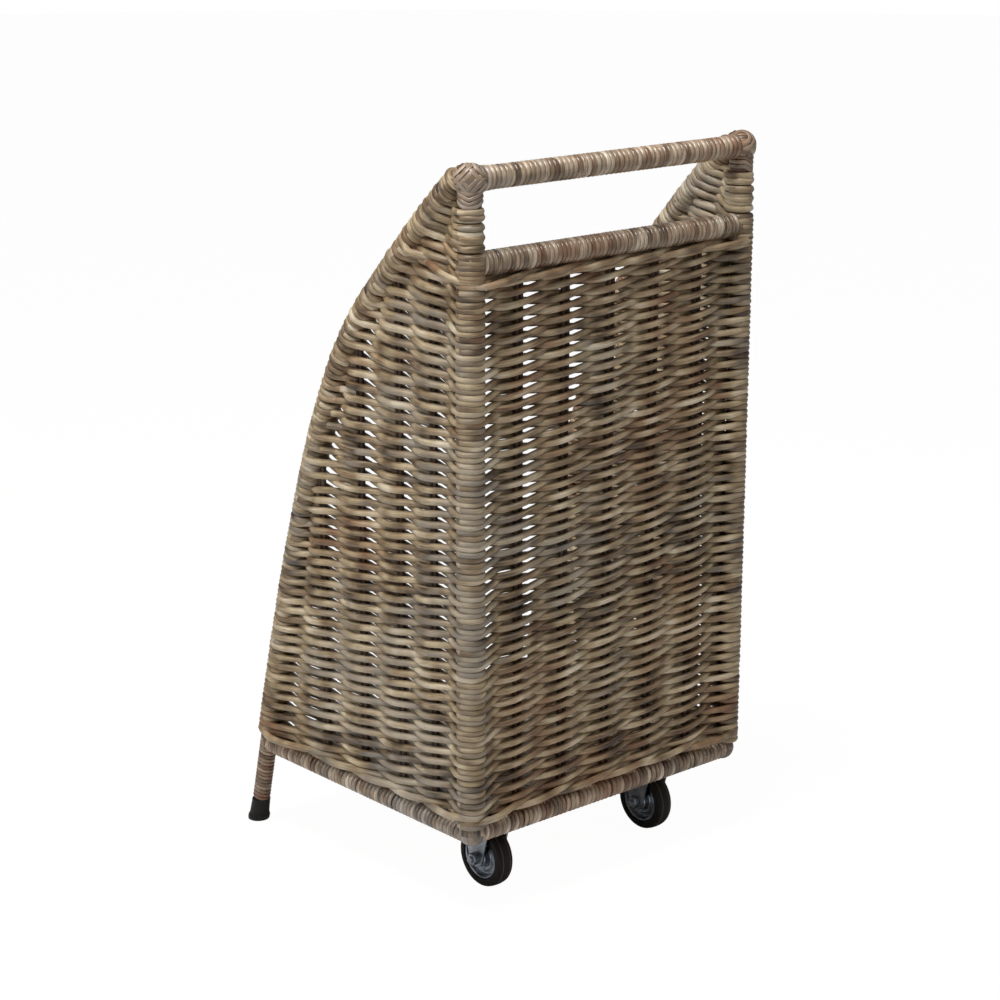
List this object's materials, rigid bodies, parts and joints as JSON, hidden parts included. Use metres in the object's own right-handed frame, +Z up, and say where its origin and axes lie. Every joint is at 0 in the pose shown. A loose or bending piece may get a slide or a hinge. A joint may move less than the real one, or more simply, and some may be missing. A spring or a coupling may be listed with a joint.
{
  "type": "fireside log cart",
  "caption": "Tall woven rattan log carrier with an open front, a wrapped cross handle, two front feet and fixed rear castors.",
  "frame": {"origin": "on the ground, at the middle of the cart's box", "axes": "+Z up, +Y towards the handle and the woven back, -Y towards the open front, +X the cart's right-hand side as seen from its front"},
  "size_m": [0.4578, 0.4196, 0.8484],
  "materials": {
    "rattan_pole": "weathered grey-brown rattan pole, satin",
    "woven_rattan": "grey-washed woven rattan strands, matt to satin",
    "wrap_cane": "split cane binding, glossy skin",
    "stake_rattan": "dark rattan stakes, matt",
    "board": "plain plywood, matt",
    "foot_rubber": "black moulded rubber, matt",
    "tyre": "black rubber tyre, matt",
    "zinc": "zinc-plated pressed steel, satin"
  },
  "bodies": {
    "cart": {"right_rear_post": "rattan_pole", "right_arch_pole": "rattan_pole", "right_base_rail": "rattan_pole", "right_base_rail_wrap": "wrap_cane", "right_side_weave": "woven_rattan", "right_leg_wrap": "wrap_cane", "right_foot_tip": "foot_rubber", "right_side_stakes_1": "stake_rattan", "right_side_stakes_2": "stake_rattan", "right_side_stakes_3": "stake_rattan", "right_side_stakes_4": "stake_rattan", "right_corner_binding": "wrap_cane", "right_castor_fork": "zinc", "right_axle_sleeve": "zinc", "right_axle_bolt": "zinc", "right_axle_nut": "zinc", "right_castor_screw_1": "zinc", "right_castor_screw_2": "zinc", "right_castor_screw_3": "zinc", "right_castor_screw_4": "zinc", "left_rear_post": "rattan_pole", "left_arch_pole": "rattan_pole", "left_base_rail": "rattan_pole", "left_base_rail_wrap": "wrap_cane", "left_side_weave": "woven_rattan", "left_leg_wrap": "wrap_cane", "left_foot_tip": "foot_rubber", "left_side_stakes_1": "stake_rattan", "left_side_stakes_2": "stake_rattan", "left_side_stakes_3": "stake_rattan", "left_side_stakes_4": "stake_rattan", "left_corner_binding": "wrap_cane", "left_castor_fork": "zinc", "left_axle_sleeve": "zinc", "left_axle_bolt": "zinc", "left_axle_nut": "zinc", "left_castor_screw_1": "zinc", "left_castor_screw_2": "zinc", "left_castor_screw_3": "zinc", "left_castor_screw_4": "zinc", "handle_pole": "rattan_pole", "handle_wrap": "wrap_cane", "back_top_rail": "rattan_pole", "back_rail_wrap": "wrap_cane", "back_base_rail": "rattan_pole", "back_base_rail_wrap": "wrap_cane", "front_base_rail": "rattan_pole", "front_base_rail_wrap": "wrap_cane", "back_weave": "woven_rattan", "castor_board": "board", "floor_weave": "woven_rattan", "back_stakes_1": "stake_rattan", "back_stakes_2": "stake_rattan", "back_stakes_3": "stake_rattan", "back_stakes_4": "stake_rattan", "back_stakes_5": "stake_rattan"},
    "right_wheel": {"right_wheel_rim": "zinc", "right_wheel_tyre": "tyre"},
    "left_wheel": {"left_wheel_rim": "zinc", "left_wheel_tyre": "tyre"}
  },
  "joints": [
    {"name": "right_wheel_spin", "type": "hinge", "parent": "cart", "child": "right_wheel", "pos_m": [0.127, 0.13336, 0.038], "axis": [1, 0, 0], "continuous": true},
    {"name": "left_wheel_spin", "type": "hinge", "parent": "cart", "child": "left_wheel", "pos_m": [-0.127, 0.13336, 0.038], "axis": [1, 0, 0], "continuous": true}
  ]
}
